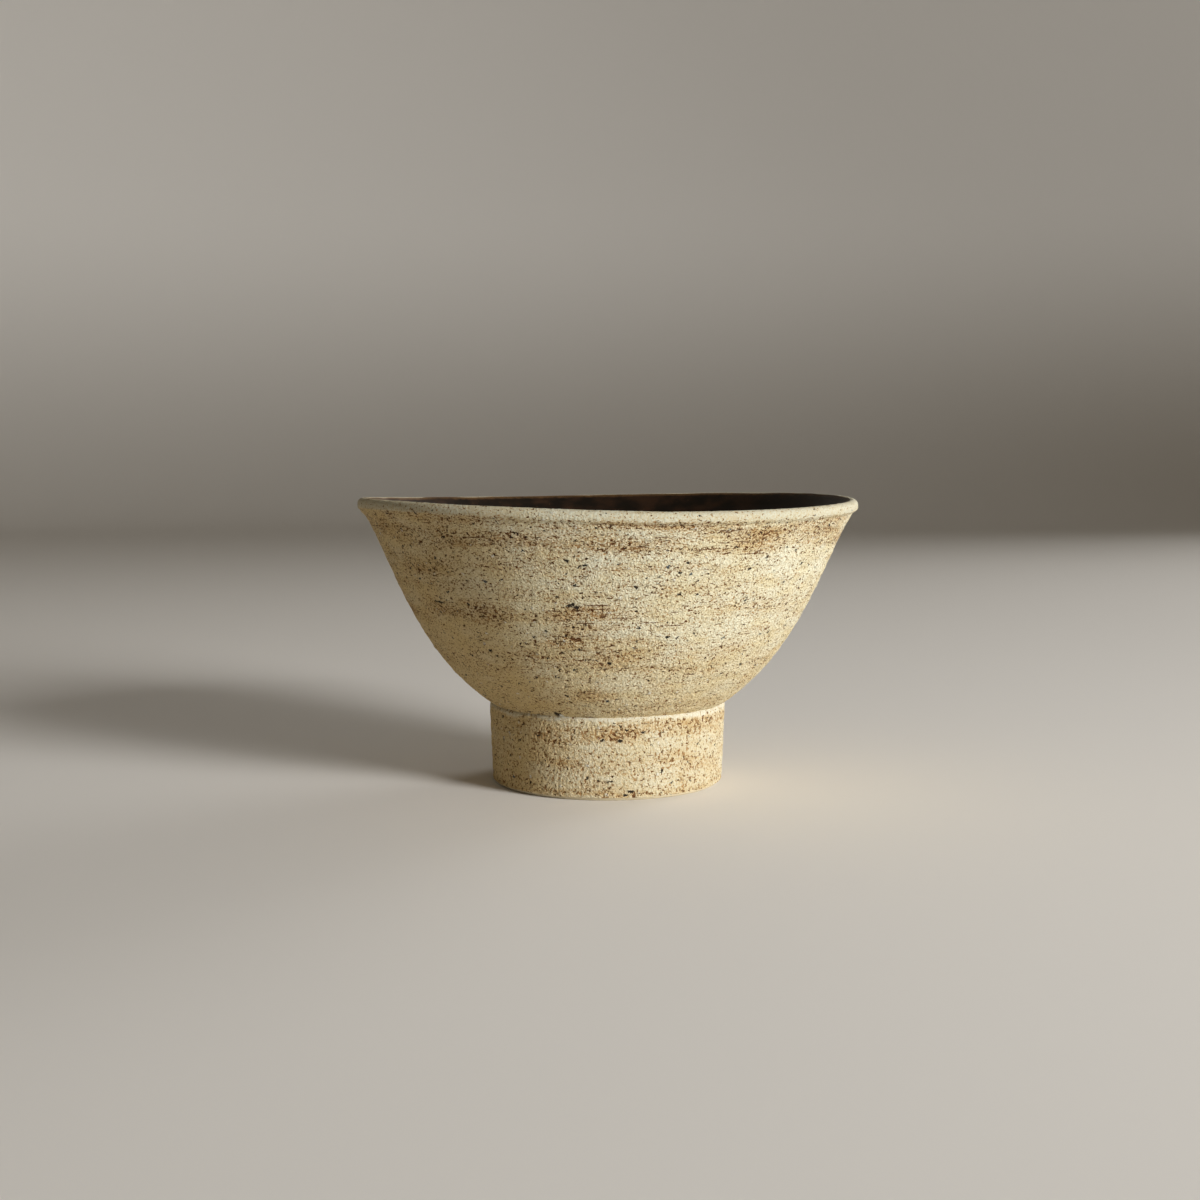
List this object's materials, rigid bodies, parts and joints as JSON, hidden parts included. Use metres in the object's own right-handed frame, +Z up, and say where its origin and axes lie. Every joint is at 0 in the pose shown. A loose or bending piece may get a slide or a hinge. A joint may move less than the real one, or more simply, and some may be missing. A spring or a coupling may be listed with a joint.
{
  "type": "pottery bowl",
  "caption": "Open round stoneware bowl with a rolled lip on a tall joined foot ring, sandy pale slip outside and dark glaze inside, for a serving of rice, soup or tea.",
  "frame": {"origin": "centre of the circle that the foot ring stands on, at the level of the surface under it", "axes": "+Z up along the axis of the bowl, out of its mouth; +X and +Y level, with the pictured side facing -Y"},
  "size_m": [0.126, 0.126, 0.0727],
  "materials": {
    "stoneware_clay": "bare buff stoneware, gritty and matt",
    "luting_clay": "fired joining slip, matt",
    "pale_slip": "sandy cream slip, matt, with brown mottling and iron specks",
    "dark_glaze": "dark brown glaze, satin"
  },
  "bodies": {
    "root": {"bowl_body": "stoneware_clay", "foot_ring": "stoneware_clay", "luting_slip": "luting_clay", "outer_slip": "pale_slip", "foot_slip": "pale_slip", "inner_glaze": "dark_glaze"}
  },
  "joints": []
}
